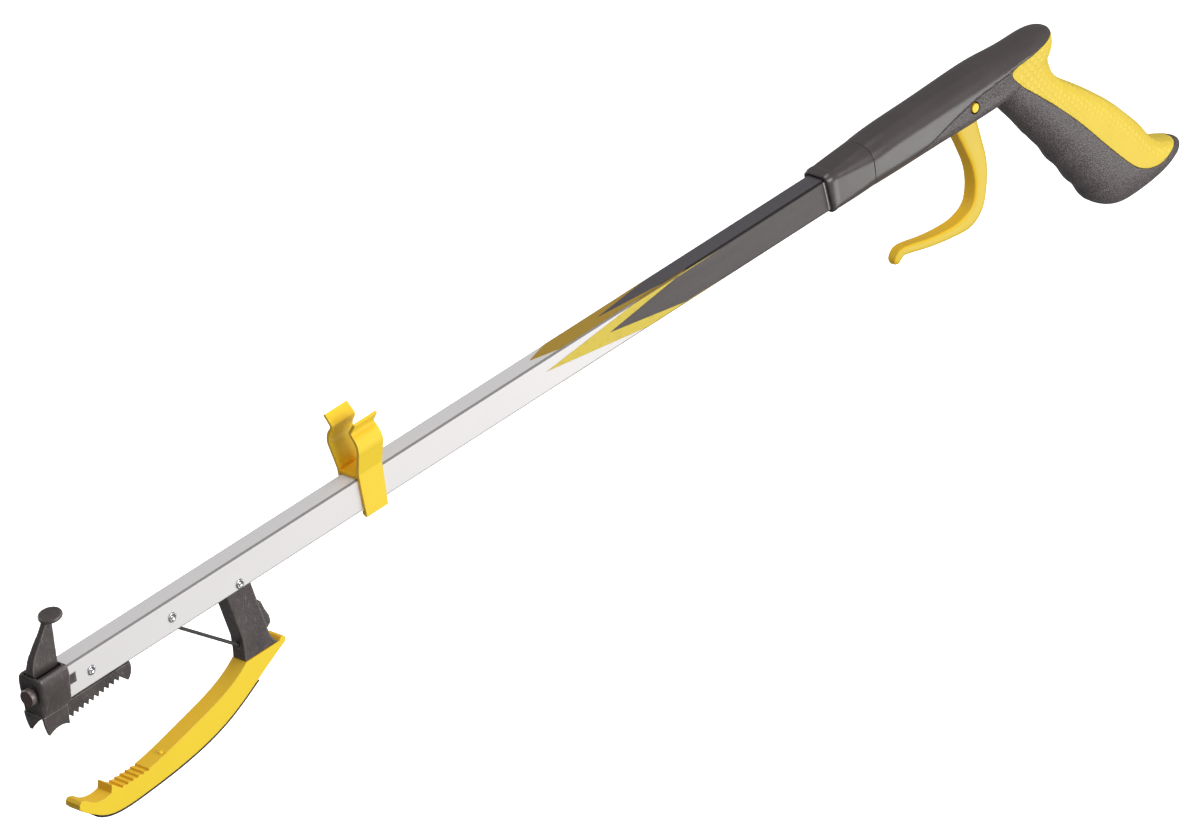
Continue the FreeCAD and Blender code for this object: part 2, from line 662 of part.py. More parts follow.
def collar():
    """Sleeve that flares from the shaft to the barrel, its front end raked back at the bottom."""
    front = rounded_section(COLLAR_START, 9.0, -11.1, 12.4, 4.0)
    middle = rounded_section(COLLAR_START + 14, 10.4, -11.2, 13.3, 5.6)
    back = rounded_section(COLLAR_END - 0.3, 12.2, -11.2, 15.0, 9.0)
    rake = [(COLLAR_START - 1, 13.0), (COLLAR_START, 13.0), (COLLAR_START + COLLAR_RAKE, -13.0),
            (COLLAR_START - 1, -13.0), (COLLAR_START - 1, 13.0)]
    sleeve = loft([front, middle, back]).cut(plate(lines(rake), 15))
    return sleeve.cut(
        tube_block(COLLAR_START - 1, COLLAR_END + 1, TUBE_SIDE + FILM, TUBE_TOP + FILM, TUBE_CORNER + FILM))


def trigger_room():
    """Space in the shells for the trigger's hub and its swing, open below."""
    x, z = TRIGGER_PIVOT
    hub = cylinder_y(x, z, HUB_RADIUS + 1.0, -TRIGGER_SLOT_HALF, TRIGGER_SLOT_HALF)
    swing = box(x - 18, x + 30, -TRIGGER_SLOT_HALF, TRIGGER_SLOT_HALF, -40, z + 3)
    cord = box(x - 30, x, -2.2, 2.2, -12.0, 8.0)
    return hub.fuse(swing).fuse(cord)


def tube_room():
    return tube_block(600, TUBE_LENGTH, TUBE_SIDE, TUBE_TOP, TUBE_CORNER)


def barrel_cover(grip_pad_shape):
    hollow = barrel_block(SHELL_WALL).common(box(640, 780, -20, 20, -30, 30))
    cover = barrel_block(0).common(above_split())
    cover = cover.cut(hollow).cut(tube_room()).cut(trigger_room())
    return cover.cut(grip_pad_shape)


def grip_pad():
    outside = grip_block(0).fuse(barrel_block(0).common(box(758, 810, -20, 20, -30, 30)))
    inside = grip_block(PAD_THICK).fuse(barrel_block(PAD_THICK).common(box(740, 796, -20, 20, -30, 30)))
    pad = outside.common(behind_pad_edge()).cut(inside).cut(above_split())
    return max(pad.Solids, key=lambda solid: solid.Volume)


def grip_shells(pad):
    lower = barrel_block(0).cut(above_split())
    body = lower.fuse(grip_block(0))
    body = body.cut(above_split())
    body = body.cut(pad)
    hollow = grip_block(PAD_THICK + SHELL_WALL).common(box(770, 900, -20, 20, -130, -20))
    for x, z in SCREW_PLACES:
        hollow = hollow.cut(cylinder_y(x, z, SCREW_HEAD_RADIUS + 2, -20, 20))
    body = body.cut(hollow).cut(tube_room()).cut(trigger_room())
    body = body.cut(cylinder_y(*TRIGGER_PIVOT, PIN_RADIUS, -20, 20))
    body = body.cut(cylinder_y(*TUBE_PIN, CORD_PIN_RADIUS, -8, 8))
    body = body.cut(cord_rear_crimp())
    near = body.common(box(600, 930, -25, 0, -130, 40))
    far = body.common(box(600, 930, 0, 25, -130, 40))
    screws = handle_screws()
    far = far.cut(screws)
    near = near.cut(screws)
    for x, z in SCREW_PLACES:
        far = far.cut(cylinder_y(x, z, SCREW_HEAD_RADIUS, 8.4, 20))
    return [max(half.Solids, key=lambda solid: solid.Volume) for half in (near, far)]


def handle_screws():
    """Three screws put in from the far side."""
    made = []
    for x, z in SCREW_PLACES:
        head = cylinder_y(x, z, SCREW_HEAD_RADIUS, 8.4, 10.6)
        recess = cylinder_y(x, z, 1.1, 9.6, 11.0)
        made.append(head.cut(recess).fuse(cylinder_y(x, z, 1.4, -6.0, 8.4)))
    return Part.makeCompound(made)


def trigger():
    """Hub on the pivot, neck, elbow and the long finger hook with its turned-down tip."""
    x, z = TRIGGER_PIVOT
    front = smooth([(714.0, -10.0), (720.0, -26.0), (724.8, -40.0), (725.0, -52.0), (721.0, -61.5),
                    (711.0, -65.8), (698.0, -66.0), (684.0, -64.2), (668.0, -60.8)])
    tip = smooth([(668.0, -60.8), (662.4, -60.8), (658.6, -63.4), (657.0, -67.4), (659.6, -70.2),
                  (663.4, -69.4), (666.0, -66.6)])
    back = smooth([(666.0, -66.6), (686.0, -71.4), (706.0, -74.6), (720.8, -75.4), (730.4, -69.0),
                   (736.2, -56.4), (738.8, -41.0), (737.2, -26.0), (734.2, -10.0)])
    root = lines([(734.2, -10.0), (732.5, 0.5), (716.0, 0.5), (714.0, -10.0)])
    lever = plate([front, tip, back] + root, TRIGGER_HALF)
    hook_edges = [e for e in lever.Edges if e.Length > 12 and abs(abs(e.CenterOfMass.y) - TRIGGER_HALF) < 0.01
                  and e.CenterOfMass.z < -12]
    lever = lever.makeFillet(TRIGGER_ROUND, hook_edges)
    lever = lever.fuse(cylinder_y(x, z, HUB_RADIUS, -TRIGGER_HALF, TRIGGER_HALF))
    lever = lever.cut(box(700, CORD_PIN[0] + 5.5, -1.6, 1.6, CORD_PIN[1] - 5.0, 12.0))
    lever = lever.cut(cylinder_y(x, z, PIN_RADIUS + PIVOT_CLEARANCE, -8, 8))
    lever = lever.cut(cylinder_y(*CORD_PIN, CORD_PIN_RADIUS, -4.0, 4.0))
    return lever.removeSplitter()


def trigger_pin():
    pin = cylinder_y(*TRIGGER_PIVOT, PIN_RADIUS, -PIN_HALF, PIN_HALF)
    return pin.makeFillet(0.5, [e for e in pin.Edges if abs(e.CenterOfMass.y) > PIN_HALF - 0.1])


def export(name, shape):
    """Writes one piece, with the grip's centre as the origin."""
    made = shape.copy()
    made.translate(FreeCAD.Vector(-GRIP_CENTRE_X, 0, -GRIP_CENTRE_Z))
    if not made.isValid():
        made.fix(0.01, 0.01, 0.01)
    made.exportStep("parts/" + name + ".step")
    solids = made.Solids
    print(f"{name:18s} solids {len(solids)} valid {made.isValid()} volume {made.Volume:10.1f}")


def main():
    os.makedirs("parts", exist_ok=True)
    flash, field = labels()
    pad = grip_pad()
    near, far = grip_shells(pad)
    pieces = {
        "shaft_tube": shaft_tube(),
        "label_flash": flash,
        "label_field": field,
        "nose_cap": nose_cap(),
        "dressing_peg": dressing_peg(),
        "nose_insert": nose_insert(),
        "upper_jaw": upper_jaw(),
        "nose_magnet": nose_magnet(),
        "nose_rivet": rivet(NOSE_RIVET, TUBE_SIDE),
        "roller_rivet": rivet(ROLLER_RIVET, TUBE_SIDE),
        "jaw_rivet": rivet(JAW_RIVET, TUBE_SIDE),
        "cord_roller": cord_roller(),
        "jaw_bush": jaw_bush(),
        "jaw_spring": jaw_spring(),
        "jaw_arm": jaw_arm(),
        "jaw_finger": jaw_finger(),
        "jaw_back_strip": jaw_back_strip(),
        "cord_front": cord_front(),
        "cord_front_crimp": cord_front_crimp(),
        "cord_run": cord_run(),
        "cord_tail": cord_tail(),
        "cord_rear_crimp": cord_rear_crimp(),
        "stick_clip": stick_clip(),
        "front_collar": collar(),
        "barrel_cover": barrel_cover(pad),
        "grip_shell_near": near,
        "grip_shell_far": far,
        "grip_pad": pad,
        "handle_screws": handle_screws(),
        "tube_pin": cylinder_y(*TUBE_PIN, CORD_PIN_RADIUS, -7.5, 7.5),
        "trigger": trigger(),
        "trigger_cord_pin": cylinder_y(*CORD_PIN, CORD_PIN_RADIUS, -4.0, 4.0),
        "trigger_pin": trigger_pin(),
    }
    for name, shape in pieces.items():
        export(name, shape)


main()
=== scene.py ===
import bmesh
import bpy
import math
from mathutils import Matrix, Vector


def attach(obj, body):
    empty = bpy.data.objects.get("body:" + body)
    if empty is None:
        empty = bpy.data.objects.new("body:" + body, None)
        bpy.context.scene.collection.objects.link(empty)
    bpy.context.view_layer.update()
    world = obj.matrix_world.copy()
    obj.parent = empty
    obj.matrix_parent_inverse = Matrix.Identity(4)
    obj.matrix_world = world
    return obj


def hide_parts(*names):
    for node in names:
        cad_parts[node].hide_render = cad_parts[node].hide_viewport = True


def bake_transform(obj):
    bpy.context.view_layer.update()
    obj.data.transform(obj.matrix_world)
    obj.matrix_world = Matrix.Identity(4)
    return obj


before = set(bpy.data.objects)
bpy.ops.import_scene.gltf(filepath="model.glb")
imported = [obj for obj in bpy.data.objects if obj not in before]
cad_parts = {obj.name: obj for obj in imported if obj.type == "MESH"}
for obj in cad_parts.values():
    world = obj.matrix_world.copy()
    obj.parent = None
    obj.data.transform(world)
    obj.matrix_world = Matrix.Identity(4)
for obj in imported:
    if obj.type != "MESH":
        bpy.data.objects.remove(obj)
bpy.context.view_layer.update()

# Looks for the reacher grabber. Shapes below are written in millimetres with the same
# coordinates as the part's source: x from the tube's front end, z from the tube's axis.
GRIP_CENTRE_X = 812.0
GRIP_CENTRE_Z = -55.0

# Camera
VIEW_CENTRE = Vector((-0.4482, -0.0614, 0.0544))
VIEW_AZIMUTH = -43.70
VIEW_ELEVATION = 29.45
VIEW_ROLL = -7.72
VIEW_DISTANCE = 7.463
LENS_MM = 420.9

# Label, in metres along the row frame: the pale end line runs along the collar's raked
# front edge, and the thin yellow line fades in and out along the tube's corners
COLLAR_RAKE = 0.1154
FILM_END = -0.1981
CORNER_LINE_FADE_IN = (-0.345, -0.335)
CORNER_LINE_FADE_OUT = (-0.285, -0.320)

# Floor and light, in metres and watts
FLOOR_Z = -1.10
FLOOR_REACH = 9.0
STUDIO_COLOUR = (0.97, 0.97, 1.0, 1)
STUDIO_STRENGTH = 0.24
LIGHTS = [  # name, place, target, size, power
    ("key", (-0.1, -3.4, 1.0), (-0.4, 0, 0.03), (2.6, 1.6), 112),
    ("top", (0.2, -0.3, 3.0), (-0.4, 0, 0), (2.4, 0.8), 36),
    ("far_side", (-0.5, 3.4, 0.7), (-0.4, 0, 0.03), (2.6, 1.6), 74),
    ("low", (0.54, -0.74, -0.47), (-0.05, 0, 0.03), (0.75, 0.3), 3.4),
]


def at(x, z, y=0.0):
    """A place in the row frame, in metres."""
    return Vector(((x - GRIP_CENTRE_X) / 1000, y / 1000, (z - GRIP_CENTRE_Z) / 1000))


# ---------------------------------------------------------------- camera, floor and light

def make_camera():
    turn, lift = math.radians(VIEW_AZIMUTH), math.radians(VIEW_ELEVATION)
    back = Vector((math.sin(turn) * math.cos(lift), -math.cos(turn) * math.cos(lift), math.sin(lift)))
    level = Vector((math.cos(turn), math.sin(turn), 0))
    upright = back.cross(level)
    roll = math.radians(VIEW_ROLL)
    right = level * math.cos(roll) + upright * math.sin(roll)
    up = back.cross(right)
    data = bpy.data.cameras.new("camera")
    data.lens, data.sensor_width = LENS_MM, 36.0
    data.clip_start, data.clip_end = 0.1, 60.0
    camera = bpy.data.objects.new("camera", data)
    bpy.context.scene.collection.objects.link(camera)
    turned = Matrix((right, up, back)).transposed().to_4x4()
    camera.matrix_world = Matrix.Translation(VIEW_CENTRE + back * VIEW_DISTANCE) @ turned
    bpy.context.scene.camera = camera


def area_light(name, place, target, size, power):
    data = bpy.data.lights.new(name, "AREA")
    data.shape, data.size, data.size_y = "RECTANGLE", size[0], size[1]
    data.energy = power
    light = bpy.data.objects.new(name, data)
    light.location = place
    light.rotation_mode = "QUATERNION"
    light.rotation_quaternion = (Vector(target) - Vector(place)).to_track_quat("-Z", "Y")
    bpy.context.scene.collection.objects.link(light)


def make_floor():
    """Pale floor that glows evenly and casts no light or reflection on the object."""
    mesh = bpy.data.meshes.new("floor")
    corners = [(x * FLOOR_REACH, y * FLOOR_REACH, FLOOR_Z) for x, y in ((-1, -1), (1, -1), (1, 1), (-1, 1))]
    mesh.from_pydata(corners, [], [(0, 1, 2, 3)])
    floor = bpy.data.objects.new("floor", mesh)
    bpy.context.scene.collection.objects.link(floor)
    material = bpy.data.materials.new("pale_floor")
    material.use_nodes = True
    shader = material.node_tree.nodes["Principled BSDF"]
    shader.inputs["Base Color"].default_value = (0.8, 0.8, 0.8, 1)
    shader.inputs["Roughness"].default_value = 0.9
    shader.inputs["Emission Color"].default_value = (1, 1, 1, 1)
    shader.inputs["Emission Strength"].default_value = 1.0
    mesh.materials.append(material)
    floor.visible_diffuse = floor.visible_glossy = False


def make_light():
    world = bpy.data.worlds.new("studio")
    world.use_nodes = True
    background = world.node_tree.nodes["Background"]
    background.inputs["Color"].default_value = STUDIO_COLOUR
    background.inputs["Strength"].default_value = STUDIO_STRENGTH
    bpy.context.scene.world = world
    bpy.context.scene.view_settings.view_transform = "Standard"
    for row in LIGHTS:
        area_light(*row)


# ---------------------------------------------------------------- material helpers

class Finish:
    """A material being put together from nodes."""

    def __init__(self, name, metallic=0.0, specular=0.5):
        self.material = bpy.data.materials.new(name)
        self.material.use_nodes = True
        self.tree = self.material.node_tree
        self.shader = self.tree.nodes["Principled BSDF"]
        self.shader.inputs["Metallic"].default_value = metallic
        self.shader.inputs["Specular IOR Level"].default_value = specular
        self.place = self.add("ShaderNodeTexCoord").outputs["Object"]
        self.normal = None

    def add(self, kind, **settings):
        node = self.tree.nodes.new(kind)
        for key, value in settings.items():
            setattr(node, key, value)
        return node

    def put(self, socket, value):
        """Joins an output to a socket, or sets the socket's value."""
        if isinstance(value, bpy.types.NodeSocket):
            self.tree.links.new(value, socket)
        else:
            socket.default_value = value

    def stretched(self, scale, turn=(0, 0, 0)):
        node = self.add("ShaderNodeMapping")
        self.put(node.inputs["Vector"], self.place)
        node.inputs["Scale"].default_value = scale
        node.inputs["Rotation"].default_value = turn
        return node.outputs["Vector"]

    def noise(self, scale, detail=3.0, rough=0.5, stretch=(1, 1, 1)):
        node = self.add("ShaderNodeTexNoise")
        self.put(node.inputs["Vector"], self.stretched(stretch))
        node.inputs["Scale"].default_value = scale
        node.inputs["Detail"].default_value = detail
        node.inputs["Roughness"].default_value = rough
        return node.outputs["Fac"]

    def cells(self, scale, randomness=1.0, turn=(0, 0, 0)):
        node = self.add("ShaderNodeTexVoronoi", feature="F1")
        self.put(node.inputs["Vector"], self.stretched((1, 1, 1), turn))
        node.inputs["Scale"].default_value = scale
        node.inputs["Randomness"].default_value = randomness
        return node.outputs["Distance"]

    def calc(self, operation, a, b=0.0):
        node = self.add("ShaderNodeMath", operation=operation)
        self.put(node.inputs[0], a)
        self.put(node.inputs[1], b)
        return node.outputs[0]

    def step(self, value, low, high):
        """0 below low, 1 above high, with a smooth change between them."""
        node = self.add("ShaderNodeMapRange", interpolation_type="SMOOTHSTEP")
        self.put(node.inputs["Value"], value)
        node.inputs["From Min"].default_value = low
        node.inputs["From Max"].default_value = high
        return node.outputs["Result"]

    def blend(self, factor, a, b):
        node = self.add("ShaderNodeMix", data_type="RGBA")
        self.put(node.inputs["Factor"], factor)
        self.put(node.inputs[6], a if not isinstance(a, tuple) else (*a, 1))
        self.put(node.inputs[7], b if not isinstance(b, tuple) else (*b, 1))
        return node.outputs[2]

    def tint(self, base, mask, share, colour):
        """base, turned partly to another colour where the mask is 1."""
        return self.blend(self.calc("MULTIPLY", mask, share), base, colour)

    def axes(self, vector):
        node = self.add("ShaderNodeSeparateXYZ")
        self.put(node.inputs[0], vector)
        return node.outputs

    def facing(self):
        """The surface's own direction in the piece's axes."""
        return self.axes(self.add("ShaderNodeTexCoord").outputs["Normal"])

    def round_edges(self, radius):
        node = self.add("ShaderNodeBevel", samples=4)
        node.inputs["Radius"].default_value = radius
        self.normal = node.outputs["Normal"]

    def edge_mask(self, radius):
        """1 where the surface turns sharply, 0 on flat stretches."""
        node = self.add("ShaderNodeBevel", samples=4)
        node.inputs["Radius"].default_value = radius
        dot = self.add("ShaderNodeVectorMath", operation="DOT_PRODUCT")
        self.put(dot.inputs[0], node.outputs["Normal"])
        self.put(dot.inputs[1], self.add("ShaderNodeNewGeometry").outputs["Normal"])
        return self.step(dot.outputs["Value"], 0.995, 0.90)

    def hollows(self, reach):
        """1 deep in hollows and corners, 0 on open faces; the mask for painted shade."""
        node = self.add("ShaderNodeAmbientOcclusion", samples=6)
        node.inputs["Distance"].default_value = reach
        return self.step(node.outputs["AO"], 0.95, 0.35)

    def bump(self, height, distance, strength=1.0):
        node = self.add("ShaderNodeBump")
        node.inputs["Strength"].default_value = strength
        node.inputs["Distance"].default_value = distance
        self.put(node.inputs["Height"], height)
        if self.normal is not None:
            self.put(node.inputs["Normal"], self.normal)
        self.normal = node.outputs["Normal"]

    def done(self, colour, roughness):
        self.put(self.shader.inputs["Base Color"], colour)
        self.put(self.shader.inputs["Roughness"], roughness)
        self.put(self.shader.inputs["Normal"], self.normal)
        return self.material


def between(finish, value, low, high):
    """value from 0 to 1, spread from low to high."""
    return finish.calc("ADD", finish.calc("MULTIPLY", value, high - low), low)


# ---------------------------------------------------------------- materials

def aluminium():
    f = Finish("anodised_aluminium", metallic=0.2, specular=0.35)
    f.round_edges(0.0003)
    drawn = f.noise(900, 4, 0.6, (0.012, 1, 1))
    cloud = f.noise(14, 3)
    f.bump(drawn, 0.00003, 0.5)
    facing = f.facing()
    # Painted shade: a dark line painted along the tube's rounded corners.
    corner = f.calc("MULTIPLY", f.calc("ABSOLUTE", facing["Y"]), f.calc("ABSOLUTE", facing["Z"]))
    corner = f.step(corner, 0.12, 0.40)
    colour = f.blend(cloud, (0.72, 0.70, 0.69), (0.77, 0.75, 0.74))
    # Painted shade: the top faces are tinted a darker grey.
    up = f.step(facing["Z"], 0.6, 0.95)
    colour = f.tint(colour, up, 0.3, (0.66, 0.655, 0.67))
    colour = f.tint(colour, corner, 0.9, (0.17, 0.155, 0.155))
    return f.done(colour, between(f, drawn, 0.42, 0.58))


def label_trim(f, colour, facing):
    """Adds the thin yellow line along the tube's corners and the label's pale end line."""
    along = f.axes(f.place)["X"]
    slope = f.calc("ABSOLUTE", facing["Z"])
    near_corner = f.calc("MULTIPLY", f.step(slope, 0.04, 0.22), f.step(slope, 0.42, 0.26))
    run = f.calc("MULTIPLY", f.step(along, *CORNER_LINE_FADE_IN), f.step(along, *CORNER_LINE_FADE_OUT))
    colour = f.tint(colour, f.calc("MULTIPLY", near_corner, run), 0.9, (0.66, 0.50, 0.06))
    side = f.step(f.calc("ABSOLUTE", facing["Y"]), 0.90, 0.99)
    raked = f.calc("ADD", along, f.calc("MULTIPLY", f.axes(f.place)["Z"], COLLAR_RAKE))
    end = f.calc("MULTIPLY", f.step(raked, FILM_END, FILM_END + 0.0002), side)
    return f.tint(colour, end, 0.85, (0.55, 0.53, 0.52))


def printed_film(name, side_colour, top_colour, speck_and_corner_shade, trim=False):
    """Printed wrap with painted shade along the tube's corners and its own colour on the top faces: painted
    shade on the yellow wrap, a paler painted reflection on the dark one; trim adds the label's two lines.
    """
    f = Finish(name, specular=0.3)
    f.round_edges(0.0003)
    streak = f.noise(700, 3, 0.6, (0.02, 1, 1))
    f.bump(streak, 0.00002, 0.35)
    facing = f.facing()
    # The top faces take top_colour: painted shade on the yellow wrap, a paler painted reflection on the
    # dark one.
    up = f.step(facing["Z"], 0.6, 0.95)
    colour = f.blend(up, side_colour, top_colour)
    speckle = f.noise(260, 4, 0.7)
    colour = f.tint(colour, f.step(speckle, 0.5, 0.8), 0.25, speck_and_corner_shade)
    # Painted shade: a dark line along the tube's rounded corners.
    corner = f.calc("MULTIPLY", f.calc("ABSOLUTE", facing["Y"]), f.calc("ABSOLUTE", facing["Z"]))
    corner = f.step(corner, 0.12, 0.40)
    colour = f.tint(colour, corner, 0.92, speck_and_corner_shade)
    if trim:
        colour = label_trim(f, colour, facing)
    return f.done(colour, between(f, streak, 0.34, 0.50))


def moulded_black(name, colour, pale, roughness, grain_scale, grain_depth, wear_and_edge_highlight):
    """Dark plastic with a fine moulded grain, faint clouds, scuffs, paler edges that are partly worn and
    partly a painted highlight, and painted shade in its hollows.
    """
    f = Finish(name, specular=0.5)
    f.round_edges(0.0005)
    grain = f.noise(grain_scale, 5, 0.62)
    cloud = f.noise(60, 4, 0.6)
    scuff = f.noise(520, 4, 0.7, (1, 1, 0.4))
    f.bump(grain, grain_depth, 0.7)
    edge = f.edge_mask(0.0014)
    tone = f.blend(cloud, colour, pale)
    marks = f.calc("MULTIPLY", f.step(scuff, 0.52, 0.72), f.step(f.noise(130, 3), 0.42, 0.6))
    tone = f.tint(tone, marks, min(wear_and_edge_highlight * 1.6, 0.8), tuple(c * 1.7 for c in pale))
    # Worn edges and painted edge highlight: sharp edges lightened toward a pale grey.
    tone = f.tint(tone, f.calc("MULTIPLY", edge, f.step(cloud, 0.3, 0.62)), wear_and_edge_highlight, (0.30, 0.27, 0.26))
    # Painted shade: hollows and corners darkened almost to black.
    tone = f.tint(tone, f.hollows(0.006), 0.85, (0.006, 0.005, 0.005))
    uneven = f.calc("MULTIPLY", f.calc("ADD", grain, cloud), 0.5)
    return f.done(tone, between(f, uneven, roughness - 0.08, roughness + 0.1))


def pebbled_black():
    """The grip shells: a leather-like moulded pebble."""
    f = Finish("pebbled_black", specular=0.42)
    f.round_edges(0.0004)
    pebble = f.cells(1050)
    fine = f.noise(1900, 3, 0.6)
    cloud = f.noise(45, 4, 0.6)
    height = f.calc("SUBTRACT", f.calc("MULTIPLY", fine, 0.4), pebble)
    f.bump(height, 0.00017, 0.9)
    tone = f.blend(cloud, (0.105, 0.089, 0.088), (0.155, 0.132, 0.130))
    # Painted shade: the valleys between the pebbles are darkened.
    tone = f.tint(tone, f.step(pebble, 0.30, 0.62), 0.6, (0.018, 0.016, 0.015))
    # Painted glints: paler specks on the pebble tops.
    painted_glint = f.calc("MULTIPLY", f.step(pebble, 0.26, 0.10), f.step(fine, 0.50, 0.66))
    tone = f.tint(tone, painted_glint, 0.5, (0.30, 0.265, 0.26))
    # Painted shade: hollows and corners darkened.
    tone = f.tint(tone, f.hollows(0.008), 0.6, (0.010, 0.009, 0.009))
    return f.done(tone, between(f, cloud, 0.36, 0.50))


def moulded_yellow(name="moulded_yellow", shade=0.85, bright=1.0):
    """Yellow plastic with painted shade: deeper orange on the faces that look forwards or up and in
    hollows, and a painted highlight on its edges.
    """
    f = Finish(name, specular=0.3)
    f.round_edges(0.0005)
    cloud = f.noise(38, 4, 0.55)
    fine = f.noise(1500, 3, 0.6)
    f.bump(fine, 0.00002, 0.5)
    facing = f.facing()
    away = f.calc("MAXIMUM", f.calc("MULTIPLY", facing["X"], -1.0), f.calc("MULTIPLY", facing["Z"], 0.8))
    tone = f.blend(cloud, (0.84 * bright, 0.60 * bright, 0.028), (0.88 * bright, 0.64 * bright, 0.035))
    # Painted shade: faces that look forwards or up turn deep orange.
    tone = f.tint(tone, f.step(away, 0.05, 0.85), shade, (0.98, 0.58, 0.025))
    # Painted highlight: edges lightened toward pale yellow.
    edge = f.edge_mask(0.0008)
    tone = f.tint(tone, edge, 0.18, (0.97, 0.80, 0.22))
    # Painted shade: hollows turn deep orange.
    tone = f.tint(tone, f.hollows(0.016), 0.9, (0.95, 0.48, 0.008))
    speck = f.step(f.noise(900, 2, 0.5), 0.70, 0.78)
    tone = f.tint(tone, speck, 0.25, (0.62, 0.38, 0.04))
    return f.done(tone, between(f, cloud, 0.34, 0.46))


def soft_yellow():
    """The pad: soft rubber with rows of fine raised dots."""
    f = Finish("soft_yellow", specular=0.35)
    f.round_edges(0.0005)
    dots = f.cells(250, 0.0, (0, math.atan2(GRIP_RUN[1], GRIP_RUN[0]), 0))
    raised = f.step(dots, 0.50, 0.28)
    skin = f.noise(1400, 4, 0.65)
    f.bump(raised, 0.0004, 0.6)
    f.bump(skin, 0.00005, 0.5)
    cloud = f.noise(42, 4, 0.6)
    tone = f.blend(cloud, (0.68, 0.50, 0.050), (0.75, 0.56, 0.065))
    # Painted highlight: the tops of the raised dots are tinted paler.
    tone = f.tint(tone, raised, 0.3, (0.84, 0.67, 0.13))
    tone = f.tint(tone, f.step(f.noise(120, 5, 0.7), 0.52, 0.80), 0.18, (0.52, 0.36, 0.06))
    return f.done(tone, between(f, skin, 0.52, 0.70))


def black_rubber():
    f = Finish("black_rubber", specular=0.3)
    f.round_edges(0.0002)
    skin = f.noise(1600, 4, 0.7)
    f.bump(skin, 0.00006, 0.6)
    tone = f.blend(f.noise(80, 4, 0.6), (0.022, 0.020, 0.018), (0.045, 0.041, 0.037))
    return f.done(tone, between(f, skin, 0.6, 0.8))


def plated_steel(name="plated_steel", colour=(0.62, 0.62, 0.63), dark=(0.32, 0.31, 0.31)):
    f = Finish(name, metallic=1.0)
    f.round_edges(0.0002)
    scratch = f.noise(1800, 4, 0.7, (1, 0.2, 1))
    cloud = f.noise(300, 3, 0.6)
    f.bump(scratch, 0.00002, 0.5)
    tone = f.blend(f.step(cloud, 0.35, 0.75), colour, dark)
    return f.done(tone, between(f, scratch, 0.20, 0.42))


def magnet_lacquer():
    f = Finish("magnet_lacquer", metallic=0.35, specular=0.5)
    f.round_edges(0.0004)
    pits = f.cells(1500)
    cloud = f.noise(220, 4, 0.6)
    f.bump(pits, 0.00005, 0.5)
    facing = f.facing()
    # Painted highlight: the side faces of the disc are painted a pale grey.
    painted_rim_highlight = f.step(f.calc("ABSOLUTE", facing["X"]), 0.8, 0.4)
    tone = f.blend(cloud, (0.085, 0.052, 0.045), (0.135, 0.085, 0.072))
    tone = f.tint(tone, painted_rim_highlight, 0.6, (0.30, 0.27, 0.27))
    return f.done(tone, between(f, cloud, 0.30, 0.48))


def nylon():
    f = Finish("white_nylon", specular=0.4)
    f.round_edges(0.0002)
    cloud = f.noise(300, 3, 0.6)
    f.bump(cloud, 0.00003, 0.5)
    return f.done(f.blend(cloud, (0.72, 0.71, 0.67), (0.82, 0.81, 0.78)), between(f, cloud, 0.4, 0.55))


def braided_cord():
    """Dark cord with the crossed lay of its braid."""
    f = Finish("braided_cord", specular=0.3)
    strands = []
    for mirror in (1, -1):
        wave = f.add("ShaderNodeTexWave", wave_type="BANDS", bands_direction="DIAGONAL")
        f.put(wave.inputs["Vector"], f.stretched((mirror, 1, 1)))
        wave.inputs["Scale"].default_value = 520
        wave.inputs["Distortion"].default_value = 1.5
        strands.append(wave.outputs["Fac"])
    lay = f.calc("MAXIMUM", *strands)
    f.bump(lay, 0.00018, 0.8)
    # Painted shade: darker in the braid's grooves, paler on its strands.
    tone = f.blend(lay, (0.018, 0.017, 0.016), (0.085, 0.082, 0.080))
    return f.done(tone, between(f, lay, 0.75, 0.6))


def make_materials():
    return {
        "aluminium": aluminium(),
        # Each wrap: side colour, top colour (painted shade on the yellow, a paler painted reflection on the
        # dark), and the colour of its specks and painted corner shade.
        "yellow_film": printed_film(
            "yellow_film", (0.62, 0.48, 0.045), (0.40, 0.25, 0.030), (0.16, 0.10, 0.03)),
        "dark_film": printed_film(
            "dark_film", (0.066, 0.056, 0.053), (0.084, 0.078, 0.086), (0.008, 0.007, 0.007), trim=True),
        "black": moulded_black(
            "moulded_black", (0.027, 0.022, 0.021), (0.104, 0.087, 0.082), 0.30, 800, 0.00026, wear_and_edge_highlight=0.70),
        "satin": moulded_black(
            "satin_black", (0.053, 0.044, 0.043), (0.074, 0.063, 0.061), 0.31, 2400, 0.00003, wear_and_edge_highlight=0.12),
        "pebbled": pebbled_black(),
        "yellow": moulded_yellow(),
        # Painted shade: a darker copy of the yellow moulding for the trigger (bright=0.78, deeper front
        # faces).
        "shaded_trigger_yellow": moulded_yellow("shaded_trigger_yellow", shade=0.95, bright=0.78),
        "pad": soft_yellow(),
        "rubber": black_rubber(),
        "steel": plated_steel(),
        "spring": plated_steel("spring_wire", (0.50, 0.49, 0.47), (0.24, 0.23, 0.22)),
        "magnet": magnet_lacquer(),
        "nylon": nylon(),
        "cord": braided_cord(),
    }


